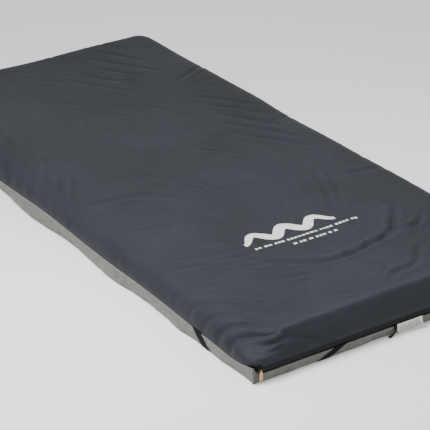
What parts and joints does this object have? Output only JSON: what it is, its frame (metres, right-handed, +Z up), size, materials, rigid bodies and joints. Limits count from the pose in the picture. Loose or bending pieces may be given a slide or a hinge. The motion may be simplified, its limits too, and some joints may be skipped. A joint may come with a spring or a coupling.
{
  "type": "pressure relief mattress overlay",
  "caption": "Flat foam and gel mattress overlay with a zipped stretch cover, a grey base and elastic corner straps that hold it on a bed's mattress.",
  "frame": {"origin": "middle of the underside, on the surface that the mattress lies on", "axes": "+X across the mattress, +Y from its foot end to its head end, +Z up"},
  "size_m": [0.8672, 1.9399, 0.097],
  "materials": {
    "grey_fabric": "matte",
    "navy_fabric": "satin",
    "zip_tape": "matte",
    "zip_teeth": "satin",
    "zip_metal": "satin",
    "brass": "satin",
    "foam_base": "matte",
    "foam_top": "matte",
    "gel_film": "gloss",
    "gel": "satin",
    "elastic": "matte",
    "webbing": "matte",
    "label": "matte"
  },
  "bodies": {
    "base": {"base_cover": "grey_fabric", "zipper_tape_lower": "zip_tape", "zipper_teeth_lower": "zip_teeth", "zipper_stops_lower": "zip_metal", "foam_slab": "foam_base", "foam_rail_left": "foam_top", "foam_rail_right": "foam_top", "foam_rail_foot": "foam_top", "foam_rail_head": "foam_top", "foam_divider_1": "foam_top", "foam_divider_2": "foam_top", "foam_divider_3": "foam_top", "webbing_tab": "webbing", "gel_film_1": "gel_film", "gel_fill_1": "gel", "gel_film_2": "gel_film", "gel_fill_2": "gel", "gel_film_3": "gel_film", "gel_fill_3": "gel", "gel_film_4": "gel_film", "gel_fill_4": "gel", "strap_leg_end_foot_left": "elastic", "strap_leg_side_foot_left": "elastic", "strap_leg_end_foot_right": "elastic", "strap_leg_side_foot_right": "elastic", "strap_leg_end_head_left": "elastic", "strap_leg_side_head_left": "elastic", "strap_leg_end_head_right": "elastic", "strap_leg_side_head_right": "elastic"},
    "cover": {"top_cover": "navy_fabric", "zipper_tape_upper": "zip_tape", "zipper_teeth_upper": "zip_teeth", "zipper_stops_upper": "zip_metal"},
    "slider": {"zipper_slider": "zip_metal"},
    "ring": {"pull_ring": "zip_metal"},
    "tab": {"pull_tab": "brass"},
    "label": {"care_label": "label"},
    "strap_foot_left": {"strap_run_foot_left": "elastic"},
    "strap_foot_right": {"strap_run_foot_right": "elastic"},
    "strap_head_left": {"strap_run_head_left": "elastic"},
    "strap_head_right": {"strap_run_head_right": "elastic"}
  },
  "joints": [
    {"name": "cover_open", "type": "hinge", "parent": "base", "child": "cover", "pos_m": [-0.432, 0, 0.03615], "axis": [0, -1, 0], "range_deg": [0, 110]},
    {"name": "zipper_slide", "type": "slide", "parent": "base", "child": "slider", "axis": [1, 0, 0], "range_m": [0, 0.8]},
    {"name": "pull_lift", "type": "hinge", "parent": "slider", "child": "ring", "pos_m": [-0.413, -0.97, 0.0353], "axis": [-1, 0, 0], "range_deg": [0, 150]},
    {"name": "pull_swing", "type": "hinge", "parent": "ring", "child": "tab", "pos_m": [-0.413, -0.97, 0.03195], "axis": [0, 1, 0], "range_deg": [-60, 60]},
    {"name": "label_flip", "type": "hinge", "parent": "base", "child": "label", "pos_m": [0.0235, -0.9652, 0.0235], "axis": [-1, 0, 0], "range_deg": [0, 110]},
    {"name": "strap_stretch_foot_left", "type": "slide", "parent": "base", "child": "strap_foot_left", "axis": [0, 0, -1], "range_m": [0, 0.1], "stiffness_N_per_m": 150, "springref_m": -0.02, "deforming": ["strap_leg_end_foot_left", "strap_leg_side_foot_left"]},
    {"name": "strap_stretch_foot_right", "type": "slide", "parent": "base", "child": "strap_foot_right", "axis": [0, 0, -1], "range_m": [0, 0.1], "stiffness_N_per_m": 150, "springref_m": -0.02, "deforming": ["strap_leg_end_foot_right", "strap_leg_side_foot_right"]},
    {"name": "strap_stretch_head_left", "type": "slide", "parent": "base", "child": "strap_head_left", "axis": [0, 0, -1], "range_m": [0, 0.1], "stiffness_N_per_m": 150, "springref_m": -0.02, "deforming": ["strap_leg_end_head_left", "strap_leg_side_head_left"]},
    {"name": "strap_stretch_head_right", "type": "slide", "parent": "base", "child": "strap_head_right", "axis": [0, 0, -1], "range_m": [0, 0.1], "stiffness_N_per_m": 150, "springref_m": -0.02, "deforming": ["strap_leg_end_head_right", "strap_leg_side_head_right"]}
  ]
}
